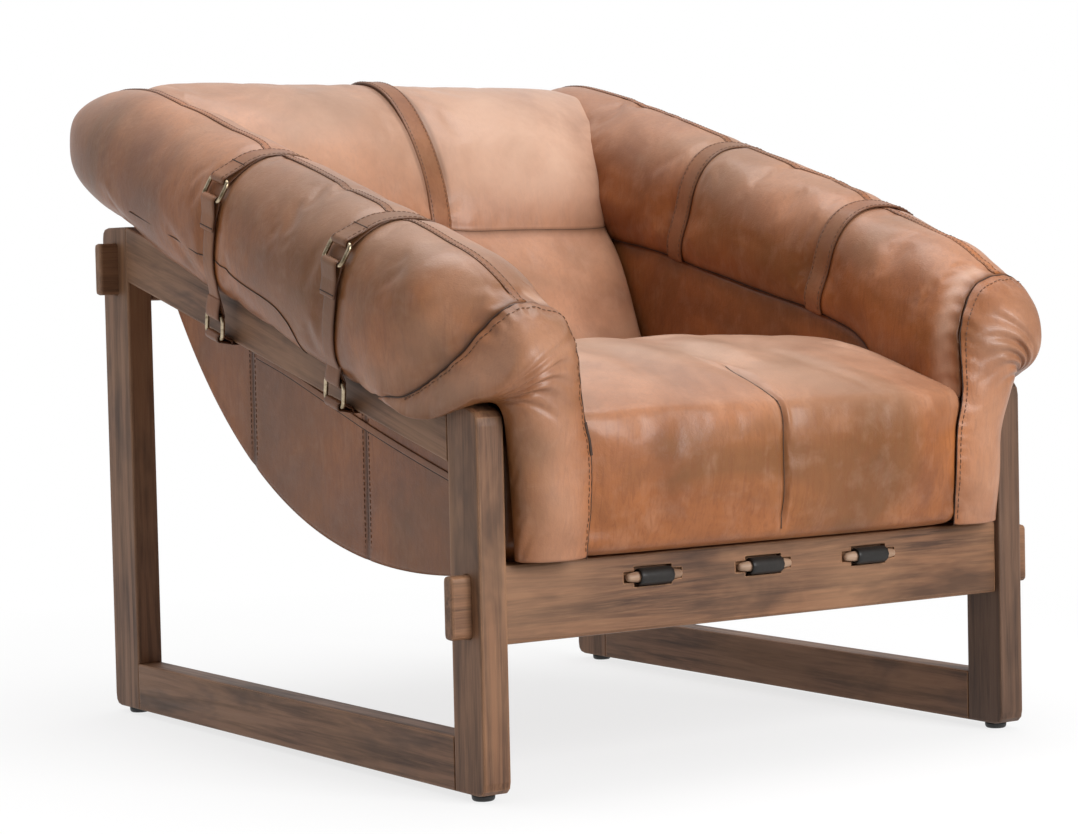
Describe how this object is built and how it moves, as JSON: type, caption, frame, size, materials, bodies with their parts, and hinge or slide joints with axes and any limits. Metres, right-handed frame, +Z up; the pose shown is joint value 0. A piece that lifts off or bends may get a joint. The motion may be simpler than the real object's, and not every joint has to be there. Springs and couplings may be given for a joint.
{
  "type": "leather sling lounge chair",
  "caption": "Low lounge chair: a pegged wooden frame carries a padded leather tub in a sling, with roll arms strapped to the side rails by metal rings.",
  "frame": {"origin": "on the floor under the middle of the chair's bounding box", "axes": "+Z up, the chair faces -Y, +X is the right-hand side of the picture"},
  "size_m": [0.8088, 0.9334, 0.7657],
  "materials": {
    "frame_wood": "oiled dark brown hardwood, worn at the edges",
    "peg_wood": "pale turned hardwood",
    "cover_leather": "waxed brown leather, mottled, soft sheen",
    "strap_leather": "brown strap leather, stitched along both edges",
    "dark_strap_leather": "near-black strap leather",
    "buckle_metal": "antique nickel plate",
    "glide": "black glide"
  },
  "bodies": {
    "chair": {"back_cushion": "cover_leather", "back_strap": "strap_leather", "front_apron": "frame_wood", "left_arm_bolster": "cover_leather", "left_arm_pad": "cover_leather", "left_arm_rail": "frame_wood", "left_front_glide": "glide", "left_front_gusset": "cover_leather", "left_front_lower_ring": "buckle_metal", "left_front_lower_strap": "strap_leather", "left_front_post": "frame_wood", "left_front_strap_tab": "strap_leather", "left_front_upper_ring": "buckle_metal", "left_front_upper_strap": "strap_leather", "left_rear_glide": "glide", "left_rear_lower_ring": "buckle_metal", "left_rear_lower_strap": "strap_leather", "left_rear_post": "frame_wood", "left_rear_strap_tab": "strap_leather", "left_rear_upper_ring": "buckle_metal", "left_rear_upper_strap": "strap_leather", "left_runner": "frame_wood", "left_side_panel": "cover_leather", "rear_rail": "frame_wood", "right_arm_bolster": "cover_leather", "right_arm_pad": "cover_leather", "right_arm_rail": "frame_wood", "right_front_glide": "glide", "right_front_gusset": "cover_leather", "right_front_lower_ring": "buckle_metal", "right_front_lower_strap": "strap_leather", "right_front_post": "frame_wood", "right_front_strap_tab": "strap_leather", "right_front_upper_ring": "buckle_metal", "right_front_upper_strap": "strap_leather", "right_rear_glide": "glide", "right_rear_lower_ring": "buckle_metal", "right_rear_lower_strap": "strap_leather", "right_rear_post": "frame_wood", "right_rear_strap_tab": "strap_leather", "right_rear_upper_ring": "buckle_metal", "right_rear_upper_strap": "strap_leather", "right_runner": "frame_wood", "right_side_panel": "cover_leather", "seat_cushion": "cover_leather", "sling_base": "cover_leather", "sling_strap_1": "dark_strap_leather", "sling_strap_2": "dark_strap_leather", "sling_strap_3": "dark_strap_leather"},
    "front_peg_1": {"front_peg_1": "peg_wood"},
    "front_peg_2": {"front_peg_2": "peg_wood"},
    "front_peg_3": {"front_peg_3": "peg_wood"},
    "rear_peg_1": {"rear_peg_1": "peg_wood"},
    "rear_peg_2": {"rear_peg_2": "peg_wood"},
    "rear_peg_3": {"rear_peg_3": "peg_wood"}
  },
  "joints": [
    {"name": "front_peg_1_turn", "type": "hinge", "parent": "chair", "child": "front_peg_1", "pos_m": [-0.144, -0.42356, 0.212], "axis": [1, 0, 0], "continuous": true},
    {"name": "front_peg_2_turn", "type": "hinge", "parent": "chair", "child": "front_peg_2", "pos_m": [0, -0.42356, 0.212], "axis": [1, 0, 0], "continuous": true},
    {"name": "front_peg_3_turn", "type": "hinge", "parent": "chair", "child": "front_peg_3", "pos_m": [0.144, -0.42356, 0.212], "axis": [1, 0, 0], "continuous": true},
    {"name": "rear_peg_1_turn", "type": "hinge", "parent": "chair", "child": "rear_peg_1", "pos_m": [-0.144, 0.38844, 0.54504], "axis": [1, 0, 0], "continuous": true},
    {"name": "rear_peg_2_turn", "type": "hinge", "parent": "chair", "child": "rear_peg_2", "pos_m": [0, 0.38844, 0.54504], "axis": [1, 0, 0], "continuous": true},
    {"name": "rear_peg_3_turn", "type": "hinge", "parent": "chair", "child": "rear_peg_3", "pos_m": [0.144, 0.38844, 0.54504], "axis": [1, 0, 0], "continuous": true}
  ]
}
